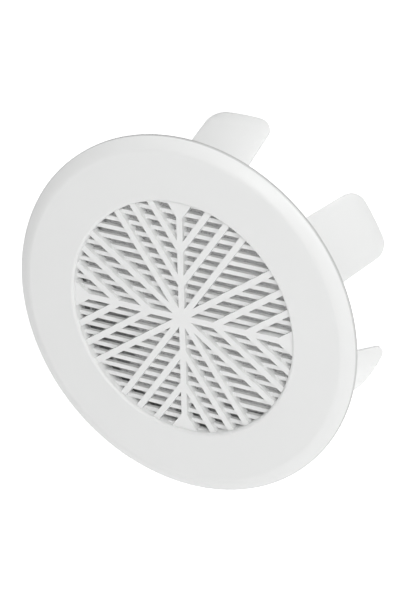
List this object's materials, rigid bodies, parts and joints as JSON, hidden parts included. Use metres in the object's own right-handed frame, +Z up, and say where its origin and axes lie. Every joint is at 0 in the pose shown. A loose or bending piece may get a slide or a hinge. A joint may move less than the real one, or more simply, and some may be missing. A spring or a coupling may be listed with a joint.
{
  "type": "self-clamping extract grille",
  "caption": "Round white bathroom extract grille with star ribs over louvre bars, an insect mesh, and sprung tabs behind the flange that grip the duct.",
  "frame": {"origin": "centre of the wall plane, on the axis of the collar", "axes": "+Y along the axis into the duct, so the face looks along -Y; +Z up, with the louvre bars level; +X to the right"},
  "size_m": [0.17, 0.0609, 0.17],
  "materials": {
    "bezel_plastic": "satin white",
    "grille_plastic": "satin white",
    "mesh_plastic": "fine plastic net",
    "carrier_plastic": "satin white",
    "gasket_foam": "closed-cell foam",
    "tab_plastic": "slightly translucent"
  },
  "bodies": {
    "housing": {"front_bezel": "bezel_plastic", "star_grille": "grille_plastic", "insect_mesh": "mesh_plastic", "mesh_ring": "carrier_plastic", "tab_carrier": "carrier_plastic", "wall_gasket": "gasket_foam"},
    "tab_1": {"spring_tab_1": "tab_plastic"},
    "tab_2": {"spring_tab_2": "tab_plastic"},
    "tab_3": {"spring_tab_3": "tab_plastic"},
    "tab_4": {"spring_tab_4": "tab_plastic"},
    "tab_5": {"spring_tab_5": "tab_plastic"},
    "tab_6": {"spring_tab_6": "tab_plastic"}
  },
  "joints": [
    {"name": "tab_1_flex", "type": "hinge", "parent": "housing", "child": "tab_1", "pos_m": [0, 0.01, 0.0583], "axis": [-1, 0, 0], "range_deg": [-3, 20], "stiffness_Nm_per_rad": 0.4},
    {"name": "tab_2_flex", "type": "hinge", "parent": "housing", "child": "tab_2", "pos_m": [0.05049, 0.01, 0.02915], "axis": [-0.5, 0, 0.866], "range_deg": [-3, 20], "stiffness_Nm_per_rad": 0.4},
    {"name": "tab_3_flex", "type": "hinge", "parent": "housing", "child": "tab_3", "pos_m": [0.05049, 0.01, -0.02915], "axis": [0.5, 0, 0.866], "range_deg": [-3, 20], "stiffness_Nm_per_rad": 0.4},
    {"name": "tab_4_flex", "type": "hinge", "parent": "housing", "child": "tab_4", "pos_m": [0, 0.01, -0.0583], "axis": [1, 0, 0], "range_deg": [-3, 20], "stiffness_Nm_per_rad": 0.4},
    {"name": "tab_5_flex", "type": "hinge", "parent": "housing", "child": "tab_5", "pos_m": [-0.05049, 0.01, -0.02915], "axis": [0.5, 0, -0.866], "range_deg": [-3, 20], "stiffness_Nm_per_rad": 0.4},
    {"name": "tab_6_flex", "type": "hinge", "parent": "housing", "child": "tab_6", "pos_m": [-0.05049, 0.01, 0.02915], "axis": [-0.5, 0, -0.866], "range_deg": [-3, 20], "stiffness_Nm_per_rad": 0.4}
  ]
}
